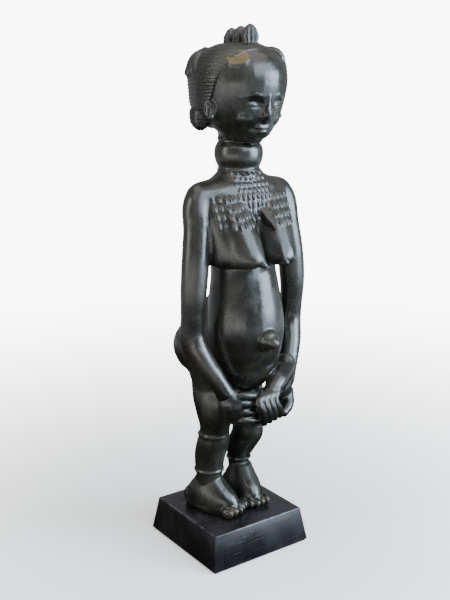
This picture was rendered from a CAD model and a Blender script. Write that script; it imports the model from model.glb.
import random
from math import atan2, cos, pi, radians, sin

import bpy
from mathutils import Euler, Matrix, Quaternion, Vector


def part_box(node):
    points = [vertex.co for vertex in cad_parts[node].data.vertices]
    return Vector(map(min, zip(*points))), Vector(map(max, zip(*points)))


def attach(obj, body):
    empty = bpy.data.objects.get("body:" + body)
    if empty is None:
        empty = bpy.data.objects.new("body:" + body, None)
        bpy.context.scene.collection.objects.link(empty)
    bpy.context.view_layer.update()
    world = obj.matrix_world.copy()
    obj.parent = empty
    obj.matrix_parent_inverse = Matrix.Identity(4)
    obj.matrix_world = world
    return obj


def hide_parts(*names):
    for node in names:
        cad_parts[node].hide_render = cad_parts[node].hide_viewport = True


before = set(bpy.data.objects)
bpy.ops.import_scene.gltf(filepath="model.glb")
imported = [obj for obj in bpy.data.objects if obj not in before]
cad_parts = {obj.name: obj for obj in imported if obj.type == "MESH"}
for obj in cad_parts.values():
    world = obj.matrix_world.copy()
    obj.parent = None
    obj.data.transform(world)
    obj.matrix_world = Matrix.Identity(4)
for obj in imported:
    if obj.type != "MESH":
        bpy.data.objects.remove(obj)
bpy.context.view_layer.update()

mm = 0.001
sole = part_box("figure")[0][2] / mm          # height of the plinth's top, where the soles stand
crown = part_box("figure")[1][2] / mm
tall = crown - sole
right, left = -1, 1
chance = random.Random(7)


# small tools for selecting and tidying

def drop():
    if bpy.context.mode != "OBJECT":
        bpy.ops.object.mode_set(mode="OBJECT")
    bpy.ops.object.select_all(action="DESELECT")


def pick(*things):
    drop()
    for thing in things:
        thing.select_set(True)
    bpy.context.view_layer.objects.active = things[-1]


def named(name):
    thing = bpy.context.active_object
    thing.name = name
    thing.data.name = name
    return thing


def place(thing):
    # puts the object's place and turn into its mesh
    pick(thing)
    bpy.ops.object.transform_apply(location=True, rotation=True, scale=True)
    return thing


def join(name, parts):
    pick(*parts)
    if len(parts) > 1:
        bpy.ops.object.join()
    return place(named(name))


def finishWith(thing, kind, **settings):
    # adds a modifier, sets it and applies it
    pick(thing)
    bpy.ops.object.modifier_add(type=kind)
    modifier = thing.modifiers[-1]
    for key, value in settings.items():
        setattr(modifier, key, value)
    bpy.ops.object.modifier_apply(modifier=modifier.name)
    return thing


def fuse(thing, grain, rounds, soft=0.5):
    # turns overlapping shapes into one skin and rubs it down
    finishWith(thing, "REMESH", mode="VOXEL", voxel_size=grain * mm)
    if rounds:
        finishWith(thing, "SMOOTH", factor=soft, iterations=rounds)
    return thing


def cut(thing, tool, how="DIFFERENCE"):
    finishWith(thing, "BOOLEAN", object=tool, operation=how, solver="MANIFOLD")
    pick(tool)
    bpy.ops.object.delete()
    return thing


def pickPoints(thing, wanted):
    # edit mode with only the points chosen whose index and place satisfy the test
    pick(thing)
    bpy.ops.object.mode_set(mode="EDIT")
    bpy.ops.mesh.select_mode(type="VERT")
    bpy.ops.mesh.select_all(action="DESELECT")
    bpy.ops.object.mode_set(mode="OBJECT")
    for i, point in enumerate(thing.data.vertices):
        point.select = bool(wanted(i, point.co))
    bpy.ops.object.mode_set(mode="EDIT")


# shapes that the carver roughs out with

def between(a, b, c, d, t):
    return [q + 0.5 * t * (r - p + t * (2 * p - 5 * q + 4 * r - s + t * (3 * (q - r) + s - p)))
            for p, q, r, s in zip(a, b, c, d)]


def flow(stations, steps):
    last = len(stations) - 1
    out = []
    for i in range(last):
        four = stations[max(i - 1, 0)], stations[i], stations[i + 1], stations[min(i + 2, last)]
        out += [between(*four, j / steps) for j in range(steps)]
    return out + [list(stations[last])]


def drum(name, stations, sides=32, steps=3, rib=1.0, wave=0.0):
    # level oval rings drawn up one from the other. A station is x, y, height over the soles, half breadth, half depth, in mm.
    # rib scales every second pair of upright edges, and wave every second ring
    rings = flow(stations, steps)
    for i, ring in enumerate(rings):
        ring[3:] = [half + wave * (-1) ** i for half in ring[3:]]
    x, y, z, a, b = rings[0]
    drop()
    bpy.ops.mesh.primitive_circle_add(vertices=sides, radius=mm, fill_type="NGON")
    thing = named(name)
    if rib != 1:
        pickPoints(thing, lambda i, p: i % 4 < 2)
        bpy.ops.transform.resize(value=(rib, rib, 1), center_override=(0, 0, 0))
    bpy.ops.object.mode_set(mode="EDIT")
    bpy.ops.mesh.select_all(action="SELECT")
    bpy.ops.transform.translate(value=(x * mm, y * mm, (z + sole) * mm))
    bpy.ops.transform.resize(value=(a, b, 1), center_override=(x * mm, y * mm, (z + sole) * mm))
    for u, v, w, c, d in rings[1:]:
        bpy.ops.mesh.extrude_region_move(TRANSFORM_OT_translate={"value": ((u - x) * mm, (v - y) * mm, (w - z) * mm)})
        bpy.ops.transform.resize(value=(c / a, d / b, 1), center_override=(u * mm, v * mm, (w + sole) * mm))
        x, y, z, a, b = u, v, w, c, d
    bpy.ops.mesh.select_all(action="SELECT")
    bpy.ops.mesh.normals_make_consistent(inside=False)
    bpy.ops.object.mode_set(mode="OBJECT")
    return thing


def limb(name, stations, blunt=True):
    # a round rod through bent stations of x, y, height over the soles, radius
    drop()
    bpy.ops.curve.primitive_bezier_curve_add()
    rod = bpy.context.active_object
    line = rod.data.splines[0]
    line.bezier_points.add(len(stations) - 2)
    for point, (x, y, z, r) in zip(line.bezier_points, stations):
        point.co = (x * mm, y * mm, (z + sole) * mm)
        point.radius = r
        point.handle_left_type = point.handle_right_type = "AUTO"
    line.radius_interpolation = "CARDINAL"
    line.resolution_u = 6
    rod.data.bevel_depth = mm
    rod.data.bevel_resolution = 4
    rod.data.use_fill_caps = True
    bpy.ops.object.convert(target="MESH")
    thing = named(name)
    if not blunt:
        return thing
    ends = [egg("end", (x, y, z), (r, r, r)) for x, y, z, r in (stations[0], stations[-1])]
    return join(name, ends + [thing])


def egg(name, centre, half, turn=(0, 0, 0), finer=3):
    # centre is x, y, height over the soles
    drop()
    x, y, z = centre
    bpy.ops.mesh.primitive_ico_sphere_add(subdivisions=finer, radius=1, location=(x * mm, y * mm, (z + sole) * mm),
                                          rotation=[radians(t) for t in turn])
    thing = named(name)
    thing.scale = [h * mm for h in half]
    return place(thing)


def hoop(name, centre, wide, deep, thick, turn=(0, 0, 0)):
    drop()
    x, y, z = centre
    bpy.ops.mesh.primitive_torus_add(major_segments=48, minor_segments=10, major_radius=wide * mm, minor_radius=thick * mm)
    thing = named(name)
    thing.scale = (1, deep / wide, 1)
    place(thing)
    thing.location = (x * mm, y * mm, (z + sole) * mm)
    thing.rotation_euler = [radians(t) for t in turn]
    return place(thing)


def flip(s, turn):
    return (turn[0], turn[1] * s, turn[2] * s)


# the carving

body = {
    "shoulder": 48, "elbow": 61, "armRadius": 14, "trunkY": -24,
    "waist": 34, "belly": 40, "hip": 41,
    "neck": 20.5, "neckRing": 24.2,
    "grain": 1.5, "rubbing": 9,
}


def trunkPieces():
    b = body
    y = b["trunkY"]
    sh, r = b["shoulder"], b["armRadius"]
    parts = [drum("trunk", [
        (0, 2, 106, b["hip"] * 0.70, 21), (0, 2, 122, b["hip"] * 0.88, 28), (0, 0, 140, b["hip"] * 0.93, 31),
        (0, -4, 158, b["hip"] * 0.94, 31), (0, -9, 178, b["hip"] * 0.92, 30), (0, -14, 200, b["hip"] * 0.90, 29),
        (0, y + 2, 226, b["waist"] + 1, 30), (0, y - 4, 252, b["waist"], 33), (0, y - 2, 278, b["waist"], 30),
        (0, y, 304, b["waist"] + 9, 27), (0, y + 1, 326, sh - 3, 26), (0, y + 1, 341, sh - 1, 25), (0, y + 2, 352, sh - 6, 20),
        (0, y + 3, 359, b["neck"] + 9, 18), (0, y + 4, 364, b["neck"] + 1, 20),
    ])]
    g = b["belly"]
    parts.append(drum("belly", [
        (0, -29, 139.5, 4, 4), (0, -29, 142, 13, 12.5), (0, -28.5, 147, 21, 20.5), (0, -28, 154, g - 12, g - 12.5),
        (0, -27.5, 164, g - 6, g - 6.5), (0, -28, 178, g - 2.3, g - 2.8), (0, -29.5, 194, g - 0.6, g - 1),
        (0, -30.5, 210, g, g - 0.5), (0, -30.5, 228, g - 2, g - 2), (0, -29, 248, g - 5, g - 4.5), (0, -28, 267, g - 8.5, g - 8), (0, -25, 282, g - 14, g - 14)]))
    parts.append(limb("yoke", [
        (-sh, y + 2, 340, r), (-sh / 2, y, 340, 20), (0, y, 340, 22), (sh / 2, y, 340, 20), (sh, y + 2, 340, r)]))
    for s in (right, left):
        parts.append(drum("buttock", [
            (15 * s, 12, 148, 15, 15), (19 * s, 21, 158, 22, 26), (20.5 * s, 25, 174, 25, 31),
            (20 * s, 23, 190, 24, 29), (17.5 * s, 15, 206, 20, 24), (15 * s, 4, 222, 15.5, 17), (13 * s, -5, 238, 10, 12), (12 * s, -11, 252, 5, 7)]))
        parts.append(egg("haunch", (28 * s, 4, 165), (14, 24, 34), flip(s, (-6, 0, 0))))
    return parts


legs = {"knee": 16.5, "ankle": {right: 15, left: 12.5}, "ankleX": 22.5, "ankleY": 4, "setBack": {right: 0, left: 8}}


def legPieces(s):
    g = legs
    x, y, b, k, a = g["ankleX"] * s, g["ankleY"], g["setBack"][s], g["knee"], g["ankle"][s]
    return [drum("leg", [
        (x, y + 2, 14, a, a + 2), (x, y + b, 34, a - 1.5, a - 0.5), (x, y + b, 46, a, a),
        (x, y - 2 + b / 2, 62, k - 0.5, k + 1.5), (x, -4, 78, k + 0.5, k + 2), (x - s, -6, 94, k - 1, k - 0.5),
        (x - 2 * s, -5, 108, k + 2, k + 4), (x - 2 * s, -1, 126, k + 2.5, k + 9), (x - 4 * s, 6, 150, k + 1, k + 9)]),
        egg("kneecap", (x - s, -19, 98), (8, 5, 8))]


def armPieces(s):
    b = body
    y, sh, el, r = b["trunkY"], b["shoulder"], b["elbow"], b["armRadius"]
    return [limb("arm", [
        (s * (sh - 12), y + 3, 345, r - 2), (s * sh, y + 2, 340, r), (s * (sh + el) / 2, y - 3, 307, r),
        (s * el, y - 6, 255, r - 0.5), (s * (el + 1), y - 4, 222, r - 2), (s * (el - 0.5), y - 2, 203, r - 0.5),
        (s * (el - 5), y - 10, 184, r - 2), (s * (el - 15), y - 20, 164, r - 4), (s * (el - 23), y - 26, 148, r - 4.5)])]


feet = {"long": 75, "broad": 36, "toeIn": {right: 21, left: 9}}


def footPieces(s):
    f, g = feet, legs
    long, broad = f["long"], f["broad"] / 2
    heel = long * 0.42
    toe = heel - long
    step = broad * 2 / 5 - 0.4
    parts = [drum("foot", [
        (0, -3, 0, broad - 2.5, long / 2 - 6), (0, -3, 6, broad, long / 2 - 3.5), (0, -3.5, 14, broad - 0.5, long / 2 - 5),
        (0, -3, 22, broad - 2, long * 0.375), (0, -1.5, 30, broad - 4.5, long * 0.275), (0, 0, 39, broad - 7, long * 0.17)]),
        egg("heel", (0, heel - 13, 11), (13, 13, 11))]
    for i in range(-2, 3):
        parts.append(egg("toe", (step * i, toe + 8 + 1.9 * abs(i), 5.8), (step / 2 + 0.45, 7.8, 5.8)))
    foot = join("foot", parts)
    foot.rotation_euler = (0, 0, radians(-f["toeIn"][s] * s))
    foot.location = (g["ankleX"] * s * mm, (g["ankleY"] + g["setBack"][s] / 2) * mm, 0)
    return [place(foot)]


skull = {"y": -19, "broad": 44, "long": 53}


def headPieces():
    h = skull
    y, w, l = h["y"], h["broad"], h["long"]
    return [drum("skull", [
        (0, y - 15, 392, w * 0.26, l * 0.22), (0, y - 13, 396, w * 0.46, l * 0.38), (0, y - 9, 404, w * 0.64, l * 0.58),
        (0, y - 5, 414, w * 0.80, l * 0.74), (0, y - 2, 426, w * 0.92, l * 0.86), (0, y - 1, 440, w * 0.98, l * 0.96),
        (0, y, 453, w, l), (0, y, 465, w * 0.92, l * 0.93), (0, y, 475, w * 0.72, l * 0.74),
        (0, y, 481, w * 0.42, l * 0.44), (0, y, 483, w * 0.14, l * 0.14)])]


def neckPieces():
    b = body
    y, n, r = b["trunkY"], b["neck"], b["neckRing"]
    return [drum("neck", [
        (0, y + 4, 352, n + 3, 21), (0, y + 4, 362, n, n), (0, y + 4, 367, n, n), (0, y + 4, 373, r - 1, r - 1),
        (0, y + 4, 380, r, r), (0, y + 4, 387, r - 1, r - 1), (0, y + 5, 393, n - 1, n - 1), (0, y + 6, 406, n, n)])]


def chestPieces(s):
    # a full lobe, flat underneath, that runs out to its tip
    return [
        drum("breast", [
            (26 * s, -31, 348, 13, 9), (25.5 * s, -33, 340, 16.5, 12.5), (24 * s, -36.5, 330, 18, 16.5), (22.5 * s, -40, 320, 19, 20.5),
            (21 * s, -43, 309, 19.8, 24.5),
            (20 * s, -45, 298, 20, 28.5), (19.5 * s, -47, 287, 19.8, 31.5), (19.5 * s, -47, 280, 19.4, 31.5),
            (20 * s, -45, 275.5, 18.5, 28.5), (21 * s, -42, 273.5, 15, 23)]),
        limb("tip", [(16.4 * s, -62, 291, 11), (14.8 * s, -71.5, 284, 7.8), (13 * s, -79.2, 278.6, 3.5)]),
        drum("flank", [
            (33 * s, -38, 274.5, 10, 16), (34 * s, -38, 280, 12.5, 21), (35 * s, -36, 300, 13, 21.5), (37 * s, -31, 322, 12.5, 18.5),
            (39 * s, -27, 338, 10, 12)])]


def knobPieces():
    navel = limb("navel", [(-1, -60, 202, 10.5), (-1, -68, 201, 11.2), (-1, -75, 200.5, 10.2), (-1, -78.5, 200, 6.5)])
    # the tooth points forward and down, one flat face up
    root, point = Vector((11, -47, 322)), Vector((7, -72, 310))
    drop()
    bpy.ops.mesh.primitive_cone_add(vertices=4, radius1=10 * mm, radius2=1.5 * mm, depth=(point - root).length * mm)
    tooth = named("pendant")
    tooth.rotation_euler = (0, 0, radians(45))
    place(tooth)
    tooth.rotation_euler = (point - root).to_track_quat("Z", "X").to_euler()
    tooth.location = [v * mm for v in ((root + point) / 2 + Vector((0, 0, sole)))]
    place(tooth)
    return [navel, tooth]


hands = {"finger": 4.2, "pitch": 8.5}


def handPieces():
    h = hands
    r, p = h["finger"], h["pitch"]
    parts = [
        limb("wrist", [(-42, -46, 156, 8.6), (-38, -48, 147, 9), (-34, -50, 140, 9.5)]),
        egg("handBack", (-31.5, -54, 134.5), (15.5, 10.5, 19), (0, -8, -22)),
        egg("underFingers", (-10, -59, 132), (24, 6.5, 17.5), (0, 3, 0)),
        limb("wrist", [(43, -45, 166, 9), (36, -50, 159, 10.5), (26, -56, 156, 11), (14, -63, 151, 10.5), (3, -68, 143, 7.5)]),
        egg("handBack", (31, -52, 142), (15, 10, 15), (0, 34, 26)),
        egg("underFingers", (0, -67, 134), (15, 7, 13), (0, 12, 4)),
        egg("heel", (38, -48, 126), (8, 7.5, 9), (0, 20, 20)),
    ]
    for i in range(4):
        z = 146.5 - p * i
        parts.append(limb("finger", [
            (-32, -58, z - 0.5, r - 0.4), (-25, -62.5, z, r + 0.6), (-17, -65, z - 1, r + 0.1), (-7, -66, z - 2, r), (6, -64, z - 3, r - 0.8)]))
    for i in range(4):
        x = 5.5 - 6.6 * i
        parts.append(limb("finger", [
            (x + 11 - i, -63, 147, r - 0.2), (x + 5, -70.5, 146.5 - i * 0.5, r), (x - 1, -74, 140.5, r),
            (x + 3, -75, 130, r - 0.1), (x + 7, -72, 121.5 - 1.4 * i, r - 0.5)]))
    parts.append(limb("thumb", [(42, -49, 134, 6), (36, -57, 123, 5.8), (26, -62, 118, 5)]))
    return parts


face = {"brow": 434, "eye": 426, "eyeX": 14.5, "nose": 416, "lips": 404, "chin": 395}


def front(thing, x, z):
    # the skin met when going in from the front at x and height z, and its slope
    found, where, slope, side = thing.ray_cast(Vector((x * mm, -0.3, (z + sole) * mm)), Vector((0, 1, 0)))
    return where.y / mm, slope


def sunk(thing, x, z, deep, half):
    # a ball of that half size, set so deep under the skin that it only swells it
    y, slope = front(thing, x, z)
    centre = Vector((x, y, z)) - slope * deep
    return egg("swell", centre, half)


def facePieces(block):
    # brow, nose and lips laid on even thirds of the face
    f = face
    y = {k: front(block, 0, f[k])[0] for k in ("brow", "eye", "nose", "lips", "chin")}
    parts = [
        limb("nose", [(0, y["brow"] + 2, f["brow"], 3), (0, y["eye"] + 1, f["eye"], 3.6),
                      (0, y["nose"] - 1.2, f["nose"] + 1, 4.6), (0, y["nose"] + 3, f["nose"] - 3, 3.6)]),
        egg("muzzle", (0, y["lips"] + 7, f["lips"]), (15, 8, 10)),
        egg("upperLip", (0, y["lips"] + 1.6, f["lips"] + 2.3), (10.5, 4.6, 2.5), (12, 0, 0)),
        egg("lowerLip", (0, y["lips"] + 2.4, f["lips"] - 2.5), (8.8, 4.6, 2.7), (-8, 0, 0)),
        egg("chin", (0, y["chin"] + 5, f["chin"]), (9, 6.5, 5.5)),
    ]
    for s in (right, left):
        x = f["eyeX"] * s
        parts += [
            egg("wing", (4.6 * s, y["nose"] + 1.6, f["nose"] - 0.6), (3, 3.8, 2.7)),
            sunk(block, 20 * s, 412, 11, (13, 13, 12)),
            limb("brow", [(4 * s, front(block, 4, f["brow"])[0] + 2, f["brow"], 2.2),
                          (13 * s, front(block, 13, f["brow"] + 2)[0] + 1.8, f["brow"] + 2, 2.8),
                          (25 * s, front(block, 25, f["brow"] - 1)[0] + 2, f["brow"] - 1, 2)]),
        ]
    return parts


def earPieces(s):
    return [
        egg("ear", (38.4 * s, -31, 422.5), (4.8, 5.4, 8), (0, 0, -20 * s)),
        hoop("helix", (41 * s, -29.4, 423.5), 4.6, 6.8, 1.6, (90, 0, 90 - 26 * s)),
        egg("lobe", (40.8 * s, -32, 415.4), (2.6, 3.2, 2.8)),
    ]


hair = {"step": 1.5, "wave": 0.6, "ribs": 12, "lean": 27.3, "edge": -57.2}


# where the tress broke off, and the way its oval stump faces
breakAt = (-24.9, -53.4, 468.3)
breakTurn = Vector((-0.53, -0.44, 0.725)).to_track_quat("Z", "Y") @ Quaternion((0, 0, 1), radians(17))


def hairPieces():
    h, k = hair, skull
    y, w, l = k["y"], k["broad"], k["long"]
    outline = flow([
        (0, y + 10, 404, w * 0.55, l * 0.42), (0, y + 7, 413, w * 0.80, l * 0.68), (0, y + 3, 426, w * 0.94 + 2, l * 0.88 + 2),
        (0, y + 1, 440, w * 0.98 + 2, l * 0.96 + 2), (0, y, 453, w + 2, l + 2), (0, y, 465, w * 0.92 + 2, l * 0.93 + 2),
        (0, y, 475, w * 0.72 + 2, l * 0.74 + 2), (0, y, 482, w * 0.42 + 2, l * 0.44 + 2), (0, y, 485, w * 0.14, l * 0.14)], 80)
    rings, level = [outline[0]], outline[0][2]
    for ring in outline[1:]:
        if ring[2] - level >= h["step"]:
            rings.append(ring)
            level = ring[2]
    cap = drum("cap", rings, 64, 1, wave=h["wave"])
    bpy.ops.mesh.primitive_cube_add(size=1)
    blade = named("blade")
    blade.scale = (0.2, 0.1, 0.2)
    place(blade)
    blade.location = (0, -0.05, 0)
    place(blade)
    blade.rotation_euler = (radians(h["lean"]), 0, 0)
    blade.location = (0, h["edge"] * mm, (479 + sole) * mm)
    place(blade)
    cut(cap, blade)
    parts = [cap]
    for i in range(3):
        y, top = -38.6 + 14.6 * i, 500 - i
        parts.append(drum("crest", [
            (0, y, top - 29, 4.4, 4), (0, y, top - 24, 5, 4.4), (0, y, top - 19, 7.6, 5.4), (0, y, top - 12, 9.6, 6.4),
            (0, y, top - 6, 8.2, 5.2), (0, y, top - 2, 4.9, 3.3), (0, y, top, 1.6, 1.4)], 4 * h["ribs"], 2, 0.76))
    parts.append(egg("crestFoot", (0, -24, 475), (7, 20, 8)))
    for s in (right, left):
        hinge = (24.5 * s, 0, 477)
        for i, (x, y, z) in enumerate([(34.8, 15, 458), (38.6, 9.5, 456), (41.4, 3, 455.5), (42.8, -4, 457), (42.6, -10.5, 460)]):
            parts.append(limb("tress", [
                (hinge[0], hinge[1], hinge[2], 3.4), ((x + 24.5) / 2 * s + 3.2 * s, y / 2, (z + 477) / 2 + 2.6, 3.9),
                (x * s, y, z, 3.6)]))
        parts.append(drum("bun", [
            (34 * s, -4, 402, 2, 3), (34 * s, -4, 405, 6, 8), (34 * s, -3, 410, 8.6, 11.4), (34 * s, -3, 416, 9.2, 12.2),
            (34 * s, -2, 422, 8, 11), (33 * s, -1, 428, 4, 6)], 24, 3, wave=0.3))
    # the tress left whole at one temple, in three strands
    for i in range(3):
        parts.append(limb("strand", [
            (23 - 2.5 * i, -30 - 4 * i, 477, 3), (29 - 2 * i, -37 - 4.2 * i, 476 - 0.5 * i, 4), (34 - 2.4 * i, -41 - 4 * i, 469, 3.6),
            (35.5 - 2.6 * i, -42.5 - 4 * i, 463, 2.4)]))
    # the stump at the other one
    stump = drum("stump", [(0, 0, -sole - 9, 15, 13), (0, 0, -sole - 2, 11.6, 9.8), (0, 0, -sole, 10.6, 8.9)], 32, 2)
    stump.rotation_euler = breakTurn.to_euler()
    stump.location = [v * mm for v in (breakAt[0], breakAt[1], breakAt[2] + sole)]
    parts.append(place(stump))
    return parts


scars = {"columns": 9, "rows": 4, "first": 3, "pitch": 5.1, "top": 341, "drop": 8.2}


def scarPieces(torso):
    c = scars
    marks = []
    for s in (right, left):
        for i in range(c["columns"]):
            for j in range(c["rows"]):
                x = c["first"] + c["pitch"] * i + chance.uniform(-0.3, 0.3)
                z = c["top"] - c["drop"] * j - 0.35 * i + chance.uniform(-0.5, 0.5)
                marks.append((x * s, z, (1.45, 1.5, 4.1)))
    for j in range(5):
        for i in range(8 - j % 2):
            marks.append((-19 + 5.4 * i + 2.7 * (j % 2) + chance.uniform(-0.3, 0.3), 362 - 5.2 * j, (1.8, 1.3, 1.9)))
    parts = []
    for x, z, half in marks:
        y, slope = front(torso, x, z)
        if slope.y > -0.5:
            continue
        up = Vector((0, -slope.z, slope.y)).normalized() * (-1 if slope.y < 0 else 1)
        turn = Matrix((up.cross(slope), -slope, up)).transposed().to_euler()
        parts.append(egg("scar", (x, y, z), half, [t * 180 / pi for t in turn], 2))
    return parts


print("roughing out the figure")
blank = join("blank", trunkPieces() + [p for s in (right, left) for p in armPieces(s) + legPieces(s)])
fuse(blank, body["grain"], body["rubbing"])

print("chest, neck and feet")
torso = join("torso", [blank] + neckPieces() + [p for s in (right, left) for p in chestPieces(s)])
fuse(torso, 1.2, 8)

print("head")
block = join("block", headPieces() + [egg("neckTop", (0, -20, 398), (20, 20, 14))])
fuse(block, 1, 4)
for s in (right, left):
    y = front(block, face["eyeX"], face["eye"])[0]
    cut(block, egg("socket", (face["eyeX"] * s, y - 3.1, face["eye"] + 0.5), (11, 5.4, 6.2), (0, 0, 18 * s)))
features = facePieces(block) + [p for s in (right, left) for p in earPieces(s)]
for s in (right, left):
    y = front(block, face["eyeX"], face["eye"])[0]
    features.append(egg("eye", (face["eyeX"] * s, y + 3, face["eye"] + 0.4), (8.4, 4.6, 4.4), (0, 0, 18 * s)))
block = join("block", features + [block])
fuse(block, 0.8, 2)
for s in (right, left):
    x = face["eyeX"]
    y = front(block, x, face["eye"] - 1)[0]
    cut(block, egg("lidLine", (x * s, y - 0.4, face["eye"] - 1.4), (7.6, 2.4, 0.8), (0, 0, 18 * s)))
    cut(block, egg("earHollow", (44.2 * s, -31.5, 423.5), (3.4, 2.4, 4.4), (0, 0, -20 * s)))

print("hair, hands and scars")
rings = []
for s in (right, left):
    g = legs
    rings += [
        hoop("anklet", (g["ankleX"] * s, g["ankleY"] + g["setBack"][s], 45), g["ankle"][s] - 0.3, g["ankle"][s] - 0.3, 1.6),
        hoop("kneeBand", (g["ankleX"] * s, -5, 88), 15.7, 16.5, 1.0),
    ]
rings += [hoop("neckLine", (0, -20, 364), 20.4, 20.4, 1.3), hoop("neckLine", (0, -19, 394.5), 19.4, 19.4, 1.3)]
figure = join("figure", [torso, block] + knobPieces() + hairPieces() + handPieces() + footPieces(right) + footPieces(left)
              + scarPieces(torso) + rings)
fuse(figure, 0.8, 2, 0.4)
finishWith(figure, "DECIMATE", ratio=min(1, 190000 / (2 * len(figure.data.polygons))))
pick(figure)
bpy.ops.object.shade_smooth()
print("figure has", len(figure.data.polygons), "faces")


# marks that the patina reads: combed hair, rubbed feet and the bare break

def paint(thing, name, value):
    layer = thing.data.attributes.new(name, "FLOAT", "POINT")
    layer.data.foreach_set("value", [min(1.0, max(0.0, value(p.co.x / mm, p.co.y / mm, p.co.z / mm - sole))) for p in thing.data.vertices])


def isHair(x, y, z):
    return (z > 404) * (y + 57.2 - (479 - z) * 0.516) * (y > -19 or z > 433)


def isWorn(x, y, z):
    toes = 0.8 - abs(z - 8) / 11 - max(0, y + 33) / 9
    instep = 0.8 - ((abs(x) - 20) ** 2 + (y + 18) ** 2 + (z - 33) ** 2) ** 0.5 / 11
    return max(toes, instep)


def isBare(x, y, z):
    off = breakTurn.inverted() @ (Vector((x, y, z)) - Vector(breakAt))
    return (abs(off.z) < 2) * (1 - ((off.x / 10.4) ** 2 + (off.y / 8.7) ** 2) ** 0.5) * 9


paint(figure, "hair", isHair)
paint(figure, "worn", isWorn)
paint(figure, "bare", isBare)

print("plinth")
block = {"top": 111, "base": 123, "high": 36.5, "felt": 2, "bevel": 1.2, "bore": 6.1, "well": 22, "wellDeep": 13}
studs = {right: (-22.5, 8), left: (22.5, 16)}


def rod(name, x, y, low, high, r, sides=48):
    drop()
    bpy.ops.mesh.primitive_cylinder_add(vertices=sides, radius=r * mm, depth=(high - low) * mm, location=(x * mm, y * mm, (low + high) / 2 * mm))
    return place(named(name))


def edgeRound(thing, width, parts=3, angle=30):
    return finishWith(thing, "BEVEL", width=width * mm, segments=parts, limit_method="ANGLE", angle_limit=radians(angle))


def boxed(name, wide, low, high):
    drop()
    bpy.ops.mesh.primitive_cube_add(size=1, location=(0, 0, (low + high) / 2 * mm))
    thing = named(name)
    thing.scale = (wide * mm, wide * mm, (high - low) * mm)
    return place(thing)


b = block
plinth = boxed("plinth", b["base"], b["felt"], b["felt"] + b["high"])
pickPoints(plinth, lambda i, p: p.z > 0.02)
bpy.ops.transform.resize(value=(b["top"] / b["base"],) * 2 + (1,), center_override=(0, 0, 0))
bpy.ops.object.mode_set(mode="OBJECT")
edgeRound(plinth, b["bevel"] * 0.8)
for s in (right, left):
    x, y = studs[s]
    cut(plinth, rod("bore", x, y, 0, 50, b["bore"] / 2))
    cut(plinth, rod("well", x, y, 0, b["felt"] + b["wellDeep"], b["well"] / 2, 64))
edgeRound(plinth, 0.25, 2, 60)

fixings = {"stud": 6, "flats": 10, "nut": 5, "washer": 18, "thin": 1.6, "pitch": 1.0, "grip": 24, "tail": 1.5}
seat = b["felt"] + b["wellDeep"]
metal = {}
for s in (right, left):
    f = fixings
    x, y = studs[s]
    side = "right" if s < 0 else "left"
    nutTop = seat - f["thin"]
    low, high = nutTop - f["nut"] - f["tail"], b["felt"] + b["high"] + f["grip"]
    rounds = int((high - low) / f["pitch"] * 4)
    stud = drum("stud", [(x, y, low - sole + (high - low) * i / rounds, f["stud"] / 2, f["stud"] / 2) for i in range(rounds + 1)], 16, 1)
    pickPoints(stud, lambda i, p: ((p.z / mm) / f["pitch"] - atan2(p.y / mm - y, p.x / mm - x) / (2 * pi)) % 1 < 0.45
               or p.z / mm < low + 0.3 or p.z / mm > high - 0.3)
    bpy.ops.transform.resize(value=(0.88, 0.88, 1), center_override=(x * mm, y * mm, 0))
    bpy.ops.object.mode_set(mode="OBJECT")
    metal[side + "_stud"] = stud
    washer = rod("washer", x, y, nutTop, seat, f["washer"] / 2, 64)
    cut(washer, rod("hole", x, y, 0, 50, f["stud"] / 2 + 0.1))
    metal[side + "_washer"] = edgeRound(washer, 0.3, 2)
    nut = rod("nut", x, y, nutTop - f["nut"], nutTop, f["flats"] / 2 / cos(pi / 6), 6)
    finishWith(nut, "BEVEL", width=0.35 * mm, segments=2, limit_method="ANGLE", angle_limit=radians(30))
    cut(nut, rod("hole", x, y, 0, 50, f["stud"] / 2 + 0.1))
    metal[side + "_nut"] = nut

felt = boxed("felt", b["base"] - 4, 0, b["felt"])
for s in (right, left):
    cut(felt, rod("relief", studs[s][0], studs[s][1], -1, 5, b["well"] / 2 + 1, 64))
edgeRound(felt, 0.6, 3)

print("materials")


def newMaterial(name):
    made = bpy.data.materials.new(name)
    made.use_nodes = True
    made.node_tree.nodes.clear()
    return made


def node(mat, kind, inputs=None, **settings):
    made = mat.node_tree.nodes.new("ShaderNode" + kind)
    for key, value in settings.items():
        setattr(made, key, value)
    for key, value in (inputs or {}).items():
        if isinstance(value, bpy.types.NodeSocket):
            mat.node_tree.links.new(value, made.inputs[key])
        else:
            made.inputs[key].default_value = value
    return made


def spots(mat, scale, squash=(1, 1, 1), detail=4, rough=0.55, warp=0.0):
    where = node(mat, "TexCoord").outputs["Object"]
    where = node(mat, "Mapping", {"Vector": where, "Scale": squash}).outputs["Vector"]
    return node(mat, "TexNoise", {"Vector": where, "Scale": scale, "Detail": detail, "Roughness": rough, "Distortion": warp}).outputs["Fac"]


def curve(mat, value, low, high, start=0.0, end=1.0):
    return node(mat, "MapRange", {"Value": value, "From Min": low, "From Max": high, "To Min": start, "To Max": end},
                interpolation_type="SMOOTHSTEP").outputs["Result"]


def sums(mat, how, one, two):
    return node(mat, "Math", {0: one, 1: two}, operation=how).outputs["Value"]


def blend(mat, much, one, two, how="MIX"):
    made = node(mat, "Mix", {"Factor": much}, data_type="RGBA", blend_type=how)
    for socket, value in ((made.inputs[6], one), (made.inputs[7], two)):
        if isinstance(value, bpy.types.NodeSocket):
            mat.node_tree.links.new(value, socket)
        else:
            socket.default_value = (*value, 1)
    return made.outputs[2]


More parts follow.
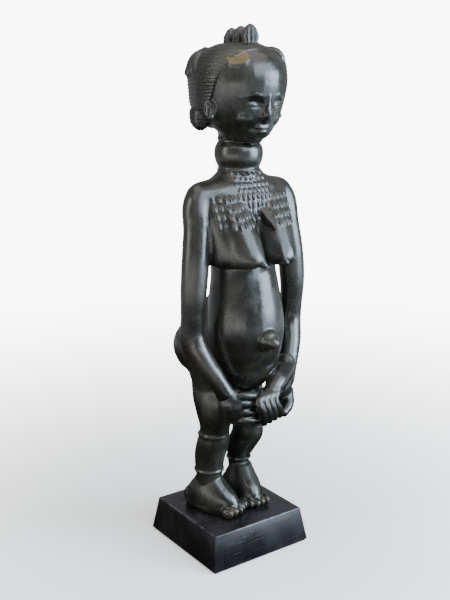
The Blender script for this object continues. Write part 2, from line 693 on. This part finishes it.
def bump(mat, height, strength, deep, under=None):
    settings = {"Height": height, "Strength": strength, "Distance": deep * mm}
    if under is not None:
        settings["Normal"] = under
    return node(mat, "Bump", settings).outputs["Normal"]


def shade(mat, **inputs):
    surface = node(mat, "BsdfPrincipled", {key.replace("_", " "): value for key, value in inputs.items()})
    end = node(mat, "OutputMaterial")
    mat.node_tree.links.new(surface.outputs[0], end.inputs["Surface"])
    return mat


def painted(mat, name):
    return node(mat, "Attribute", attribute_name=name).outputs["Fac"]


patina = newMaterial("patinatedWood")
m = patina
grain = spots(m, 420, (1, 1, 0.06), 5, 0.6)
blotch = spots(m, 26, (1, 1, 0.7), 5, 0.6, 0.4)
cloud = spots(m, 9, (1, 1, 1), 3)
dents = spots(m, 150, (1, 1, 0.6), 2)
hairMark = painted(m, "hair")
worn = sums(m, "MULTIPLY", painted(m, "worn"), curve(m, spots(m, 70, (1, 1, 1), 4), 0.35, 0.6))
bare = painted(m, "bare")
where = node(m, "SeparateXYZ", {0: node(m, "TexCoord").outputs["Object"]}).outputs
colour = blend(m, curve(m, blotch, 0.35, 0.7), (0.008, 0.0077, 0.0058), (0.031, 0.0298, 0.021))
colour = blend(m, curve(m, cloud, 0.5, 0.72, 0, 0.55), colour, (0.034, 0.022, 0.014))
colour = blend(m, curve(m, grain, 0.52, 0.75, 0, 0.5), colour, (0.004, 0.0036, 0.003))
colour = blend(m, curve(m, worn, 0.1, 0.6, 0, 0.7), colour, (0.062, 0.030, 0.013))
fromPith = node(m, "VectorMath", {0: node(m, "TexCoord").outputs["Object"], 1: (-0.0249, -0.0534, 0.5068)}, operation="DISTANCE").outputs["Value"]
ringed = sums(m, "FRACT", sums(m, "MULTIPLY", fromPith, 620), 0)
ochre = blend(m, curve(m, ringed, 0.1, 0.9, 0, 0.6), (0.135, 0.078, 0.014), (0.070, 0.039, 0.008))
ochre = blend(m, curve(m, grain, 0.45, 0.7, 0, 0.5), ochre, (0.05, 0.029, 0.008))
ochre = blend(m, curve(m, fromPith, 0.0078, 0.0096, 0, 0.6), ochre, (0.25, 0.16, 0.045))
colour = blend(m, curve(m, bare, 0.2, 0.9), colour, ochre)
gloss = sums(m, "ADD", curve(m, blotch, 0.3, 0.75, 0.22, 0.38), curve(m, dents, 0.3, 0.8, -0.05, 0.08))
gloss = sums(m, "ADD", gloss, curve(m, bare, 0.2, 0.9, 0, 0.3))
strands = node(m, "Math", {0: sums(m, "ADD", sums(m, "MULTIPLY", where["Z"], 5200), sums(m, "MULTIPLY", dents, 5))}, operation="SINE").outputs["Value"]
skin = bump(m, dents, 0.5, 0.7)
skin = bump(m, grain, 0.25, 0.25, skin)
skin = bump(m, sums(m, "MULTIPLY", strands, hairMark), 0.5, 0.22, skin)
shade(m, Base_Color=colour, Roughness=gloss, Normal=skin, Coat_Weight=0.25, Coat_Roughness=0.25, Specular_IOR_Level=0.62)

ebony = newMaterial("ebonisedWood")
m = ebony
grain = spots(m, 260, (0.06, 1, 1), 5, 0.6)
rubbed = spots(m, 22, (1, 1, 1), 5)
scratch = curve(m, spots(m, 900, (0.04, 0.9, 0.9), 2), 0.62, 0.72)
where = node(m, "SeparateXYZ", {0: node(m, "TexCoord").outputs["Object"]}).outputs
reach = sums(m, "MAXIMUM", sums(m, "ABSOLUTE", where["X"], 0), sums(m, "ABSOLUTE", where["Y"], 0))
rim = sums(m, "MULTIPLY", curve(m, reach, 0.0536, 0.0550), curve(m, where["Z"], 0.0362, 0.0378))
rim = sums(m, "MULTIPLY", rim, curve(m, spots(m, 95, (1, 1, 1), 4), 0.38, 0.62))
colour = blend(m, curve(m, rubbed, 0.35, 0.7), (0.007, 0.0066, 0.008), (0.020, 0.017, 0.020))
colour = blend(m, curve(m, grain, 0.5, 0.75, 0, 0.5), colour, (0.032, 0.026, 0.027))
colour = blend(m, sums(m, "MULTIPLY", scratch, 0.35), colour, (0.11, 0.11, 0.13))
colour = blend(m, sums(m, "MULTIPLY", rim, 0.5), colour, (0.12, 0.11, 0.11))
gloss = sums(m, "ADD", curve(m, rubbed, 0.3, 0.75, 0.20, 0.40), sums(m, "MULTIPLY", scratch, 0.15))
skin = bump(m, grain, 0.18, 0.2)
skin = bump(m, scratch, 0.15, 0.1, skin)
shade(m, Base_Color=colour, Roughness=gloss, Normal=skin, Coat_Weight=0.3, Coat_Roughness=0.18)

steel = newMaterial("zincedSteel")
m = steel
smear = spots(m, 300, (1, 1, 1), 4)
fine = spots(m, 2600, (1, 1, 0.1), 3)
colour = blend(m, curve(m, smear, 0.35, 0.7), (0.50, 0.51, 0.53), (0.68, 0.68, 0.67))
colour = blend(m, curve(m, spots(m, 120, (1, 1, 1), 5), 0.6, 0.75, 0, 0.6), colour, (0.33, 0.28, 0.22))
shade(m, Base_Color=colour, Metallic=1.0, Roughness=curve(m, smear, 0.3, 0.7, 0.28, 0.48), Normal=bump(m, fine, 0.2, 0.05))

baize = newMaterial("felt")
m = baize
fuzz = spots(m, 1500, (1, 1, 1), 6, 0.75)
matted = spots(m, 120, (1, 1, 1), 3)
colour = blend(m, curve(m, fuzz, 0.3, 0.7), (0.012, 0.014, 0.013), (0.040, 0.045, 0.041))
colour = blend(m, curve(m, matted, 0.45, 0.7, 0, 0.4), colour, (0.022, 0.020, 0.018))
shade(m, Base_Color=colour, Roughness=curve(m, matted, 0.3, 0.7, 0.88, 1.0), Normal=bump(m, fuzz, 0.7, 0.3),
      Sheen_Weight=0.35, Sheen_Roughness=0.6)


def dress(thing, name, mat):
    thing.name = thing.data.name = name + "_finished"
    thing.data.materials.clear()
    thing.data.materials.append(mat)
    pick(thing)
    bpy.ops.object.shade_smooth_by_angle(angle=radians(35))
    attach(thing, "root")
    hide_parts(name)


dress(figure, "figure", patina)
pick(figure)
bpy.ops.object.shade_smooth()
dress(plinth, "plinth", ebony)
dress(felt, "felt_sheet", baize)
for name, thing in metal.items():
    dress(thing, name, steel)

print("camera, light and floor")
view = {"place": (-0.5105, -0.7175, 0.4784), "heading": 35.26, "down": 13.52, "roll": -0.32, "lens": 52.39}
drop()
bpy.ops.object.camera_add(location=view["place"])
camera = bpy.context.active_object
camera.rotation_euler = (Euler((radians(90 - view["down"]), 0, radians(-view["heading"]))).to_matrix()
                         @ Matrix.Rotation(radians(view["roll"]), 3, "Z")).to_euler()
camera.data.lens = view["lens"]
bpy.context.scene.camera = camera


def lamp(name, place, aim, wide, high, power, tint):
    bpy.ops.object.light_add(type="AREA", location=place)
    made = bpy.context.active_object
    made.name = name
    made.rotation_euler = (Vector(place) - Vector(aim)).to_track_quat("Z", "Y").to_euler()
    made.data.shape = "RECTANGLE"
    made.data.size = wide
    made.data.size_y = high
    made.data.energy = power
    made.data.color = tint


lamp("window", (0.40, -1.22, 1.15), (0, 0, 0.33), 1.7, 1.0, 34, (0.66, 0.82, 1.0))
lamp("sideWindow", (0.95, -1.12, 0.50), (0, 0, 0.28), 1.0, 0.8, 37, (0.68, 0.83, 1.0))
lamp("lowCard", (-1.18, -0.54, 0.17), (0, 0, 0.42), 1.6, 0.25, 3.0, (1.0, 0.99, 0.94))
lamp("above", (-0.2, -0.3, 1.9), (0, 0, 0.3), 2.2, 2.2, 22, (1.0, 0.98, 0.95))
lamp("fill", (-1.6, 0.4, 0.8), (0, 0, 0.3), 0.5, 1.3, 8, (1.0, 0.99, 0.96))

world = bpy.data.worlds.new("studio")
bpy.context.scene.world = world
world.use_nodes = True
tree = world.node_tree
tree.nodes.clear()
seen = tree.nodes.new("ShaderNodeLightPath")
dim, clear, mix, out = (tree.nodes.new("ShaderNode" + kind) for kind in ("Background", "Background", "MixShader", "OutputWorld"))
dim.inputs["Color"].default_value = (0.93, 0.96, 1.0, 1)
dim.inputs["Strength"].default_value = 0.32
clear.inputs["Color"].default_value = (1, 1, 1, 1)
clear.inputs["Strength"].default_value = 9
tree.links.new(seen.outputs["Is Camera Ray"], mix.inputs[0])
tree.links.new(dim.outputs[0], mix.inputs[1])
tree.links.new(clear.outputs[0], mix.inputs[2])
tree.links.new(mix.outputs[0], out.inputs["Surface"])

drop()
bpy.ops.mesh.primitive_circle_add(vertices=96, radius=8, fill_type="NGON")
floor = named("floor")
m = newMaterial("paleFloor")
far = node(m, "VectorMath", {0: node(m, "TexCoord").outputs["Object"]}, operation="LENGTH").outputs["Value"]
paper = node(m, "BsdfPrincipled", {"Base Color": (0.95, 0.95, 0.94, 1), "Roughness": 0.8,
                                   "Emission Color": (1, 1, 1, 1), "Emission Strength": 0.45})
clear = node(m, "BsdfTransparent")
joined = node(m, "MixShader", {0: curve(m, far, 0.1, 1.3), 1: paper.outputs[0], 2: clear.outputs[0]})
end = node(m, "OutputMaterial", {"Surface": joined.outputs[0]})
floor.data.materials.append(m)
floor.visible_diffuse = False
floor.visible_glossy = False

# an unseen sheet under it, dark close by, so that little light comes back up at the feet
drop()
bpy.ops.mesh.primitive_circle_add(vertices=96, radius=8, fill_type="NGON", location=(0, 0, -0.003))
under = place(named("underSheet"))
m = newMaterial("darkSheet")
far = node(m, "VectorMath", {0: node(m, "TexCoord").outputs["Object"]}, operation="LENGTH").outputs["Value"]
shade(m, Base_Color=blend(m, curve(m, far, 0.4, 1.5), (0.02, 0.02, 0.02), (0.8, 0.8, 0.8)), Roughness=0.9)
under.data.materials.append(m)
under.visible_camera = False
